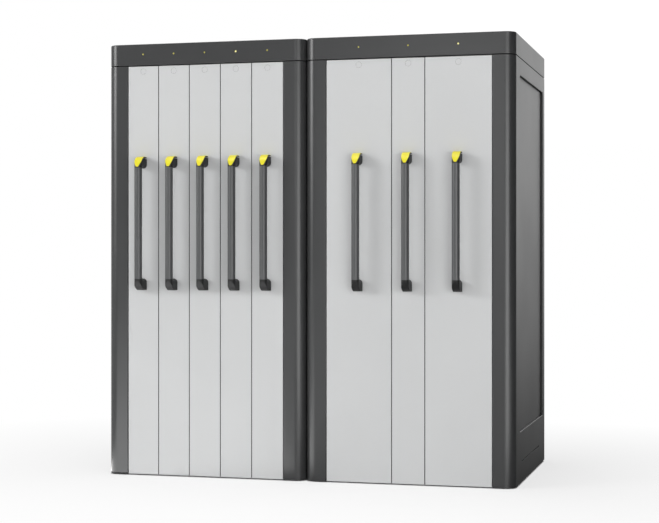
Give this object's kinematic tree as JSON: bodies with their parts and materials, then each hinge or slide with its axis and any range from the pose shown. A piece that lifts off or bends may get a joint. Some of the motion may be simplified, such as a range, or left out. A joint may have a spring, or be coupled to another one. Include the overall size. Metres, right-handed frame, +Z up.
{
  "type": "tool cabinet",
  "caption": "Joined floor-standing tool cabinets with tall narrow pull-outs on telescopic slides; each pull-out has shelves, a bar handle and a release button.",
  "frame": {"origin": "on the floor, under the middle of the overall box", "axes": "+Z up, the fronts and handles face -Y, +X to the right of someone facing the fronts"},
  "size_m": [1.906, 1.098, 2],
  "materials": {
    "housing_paint": "satin powder coat",
    "front_paint": "satin powder coat",
    "carriage_paint": "satin powder coat",
    "handle_black": "dark satin",
    "button_yellow": "satin",
    "lamp_lens": "clear gloss",
    "slide_steel": "zinc plated",
    "control_case": "matte",
    "black_rubber": "matte",
    "foot_plastic": "matte"
  },
  "bodies": {
    "housing": {"left_outer_side": "housing_paint", "left_inner_side": "housing_paint", "right_inner_side": "housing_paint", "right_outer_side": "housing_paint", "side_insets": "housing_paint", "left_top_cover": "housing_paint", "right_top_cover": "housing_paint", "left_back_panel": "housing_paint", "right_back_panel": "housing_paint", "left_base_frame": "housing_paint", "right_base_frame": "housing_paint", "left_head_frame": "housing_paint", "right_head_frame": "housing_paint", "fixed_rails": "slide_steel", "indicator_lamps": "lamp_lens", "holding_magnets": "slide_steel", "control_units": "control_case", "cable_grommets": "black_rubber", "levelling_feet": "foot_plastic", "cabinet_fasteners": "slide_steel"},
    "pullout_1": {"front_1": "front_paint", "handle_1": "handle_black", "carriage_1": "carriage_paint"},
    "slide_1": {"slide_rail_1": "slide_steel"},
    "button_1": {"release_button_1": "button_yellow"},
    "pullout_2": {"front_2": "front_paint", "handle_2": "handle_black", "carriage_2": "carriage_paint"},
    "slide_2": {"slide_rail_2": "slide_steel"},
    "button_2": {"release_button_2": "button_yellow"},
    "pullout_3": {"front_3": "front_paint", "handle_3": "handle_black", "carriage_3": "carriage_paint"},
    "slide_3": {"slide_rail_3": "slide_steel"},
    "button_3": {"release_button_3": "button_yellow"},
    "pullout_4": {"front_4": "front_paint", "handle_4": "handle_black", "carriage_4": "carriage_paint"},
    "slide_4": {"slide_rail_4": "slide_steel"},
    "button_4": {"release_button_4": "button_yellow"},
    "pullout_5": {"front_5": "front_paint", "handle_5": "handle_black", "carriage_5": "carriage_paint"},
    "slide_5": {"slide_rail_5": "slide_steel"},
    "button_5": {"release_button_5": "button_yellow"},
    "pullout_6": {"front_6": "front_paint", "handle_6": "handle_black", "carriage_6": "carriage_paint"},
    "slide_6": {"slide_rail_6": "slide_steel"},
    "button_6": {"release_button_6": "button_yellow"},
    "pullout_7": {"front_7": "front_paint", "handle_7": "handle_black", "carriage_7": "carriage_paint"},
    "slide_7": {"slide_rail_7": "slide_steel"},
    "button_7": {"release_button_7": "button_yellow"},
    "pullout_8": {"front_8": "front_paint", "handle_8": "handle_black", "carriage_8": "carriage_paint"},
    "slide_8": {"slide_rail_8": "slide_steel"},
    "button_8": {"release_button_8": "button_yellow"}
  },
  "joints": [
    {"name": "pullout_1_slide", "type": "slide", "parent": "housing", "child": "pullout_1", "axis": [0, -1, 0], "range_m": [0, 0.84]},
    {"name": "slide_1_run", "type": "slide", "parent": "housing", "child": "slide_1", "axis": [0, -1, 0], "range_m": [0, 0.42]},
    {"name": "button_1_press", "type": "slide", "parent": "pullout_1", "child": "button_1", "axis": [0, 0.7071, -0.7071], "range_m": [0, 0.003], "stiffness_N_per_m": 800, "springref_m": -0.002},
    {"name": "pullout_2_slide", "type": "slide", "parent": "housing", "child": "pullout_2", "axis": [0, -1, 0], "range_m": [0, 0.84]},
    {"name": "slide_2_run", "type": "slide", "parent": "housing", "child": "slide_2", "axis": [0, -1, 0], "range_m": [0, 0.42]},
    {"name": "button_2_press", "type": "slide", "parent": "pullout_2", "child": "button_2", "axis": [0, 0.7071, -0.7071], "range_m": [0, 0.003], "stiffness_N_per_m": 800, "springref_m": -0.002},
    {"name": "pullout_3_slide", "type": "slide", "parent": "housing", "child": "pullout_3", "axis": [0, -1, 0], "range_m": [0, 0.84]},
    {"name": "slide_3_run", "type": "slide", "parent": "housing", "child": "slide_3", "axis": [0, -1, 0], "range_m": [0, 0.42]},
    {"name": "button_3_press", "type": "slide", "parent": "pullout_3", "child": "button_3", "axis": [0, 0.7071, -0.7071], "range_m": [0, 0.003], "stiffness_N_per_m": 800, "springref_m": -0.002},
    {"name": "pullout_4_slide", "type": "slide", "parent": "housing", "child": "pullout_4", "axis": [0, -1, 0], "range_m": [0, 0.84]},
    {"name": "slide_4_run", "type": "slide", "parent": "housing", "child": "slide_4", "axis": [0, -1, 0], "range_m": [0, 0.42]},
    {"name": "button_4_press", "type": "slide", "parent": "pullout_4", "child": "button_4", "axis": [0, 0.7071, -0.7071], "range_m": [0, 0.003], "stiffness_N_per_m": 800, "springref_m": -0.002},
    {"name": "pullout_5_slide", "type": "slide", "parent": "housing", "child": "pullout_5", "axis": [0, -1, 0], "range_m": [0, 0.84]},
    {"name": "slide_5_run", "type": "slide", "parent": "housing", "child": "slide_5", "axis": [0, -1, 0], "range_m": [0, 0.42]},
    {"name": "button_5_press", "type": "slide", "parent": "pullout_5", "child": "button_5", "axis": [0, 0.7071, -0.7071], "range_m": [0, 0.003], "stiffness_N_per_m": 800, "springref_m": -0.002},
    {"name": "pullout_6_slide", "type": "slide", "parent": "housing", "child": "pullout_6", "axis": [0, -1, 0], "range_m": [0, 0.84]},
    {"name": "slide_6_run", "type": "slide", "parent": "housing", "child": "slide_6", "axis": [0, -1, 0], "range_m": [0, 0.42]},
    {"name": "button_6_press", "type": "slide", "parent": "pullout_6", "child": "button_6", "axis": [0, 0.7071, -0.7071], "range_m": [0, 0.003], "stiffness_N_per_m": 800, "springref_m": -0.002},
    {"name": "pullout_7_slide", "type": "slide", "parent": "housing", "child": "pullout_7", "axis": [0, -1, 0], "range_m": [0, 0.84]},
    {"name": "slide_7_run", "type": "slide", "parent": "housing", "child": "slide_7", "axis": [0, -1, 0], "range_m": [0, 0.42]},
    {"name": "button_7_press", "type": "slide", "parent": "pullout_7", "child": "button_7", "axis": [0, 0.7071, -0.7071], "range_m": [0, 0.003], "stiffness_N_per_m": 800, "springref_m": -0.002},
    {"name": "pullout_8_slide", "type": "slide", "parent": "housing", "child": "pullout_8", "axis": [0, -1, 0], "range_m": [0, 0.84]},
    {"name": "slide_8_run", "type": "slide", "parent": "housing", "child": "slide_8", "axis": [0, -1, 0], "range_m": [0, 0.42]},
    {"name": "button_8_press", "type": "slide", "parent": "pullout_8", "child": "button_8", "axis": [0, 0.7071, -0.7071], "range_m": [0, 0.003], "stiffness_N_per_m": 800, "springref_m": -0.002}
  ],
  "couplings": [
    {"joint": "slide_1_run", "follows": "pullout_1_slide", "ratio": 0.5},
    {"joint": "slide_2_run", "follows": "pullout_2_slide", "ratio": 0.5},
    {"joint": "slide_3_run", "follows": "pullout_3_slide", "ratio": 0.5},
    {"joint": "slide_4_run", "follows": "pullout_4_slide", "ratio": 0.5},
    {"joint": "slide_5_run", "follows": "pullout_5_slide", "ratio": 0.5},
    {"joint": "slide_6_run", "follows": "pullout_6_slide", "ratio": 0.5},
    {"joint": "slide_7_run", "follows": "pullout_7_slide", "ratio": 0.5},
    {"joint": "slide_8_run", "follows": "pullout_8_slide", "ratio": 0.5}
  ]
}
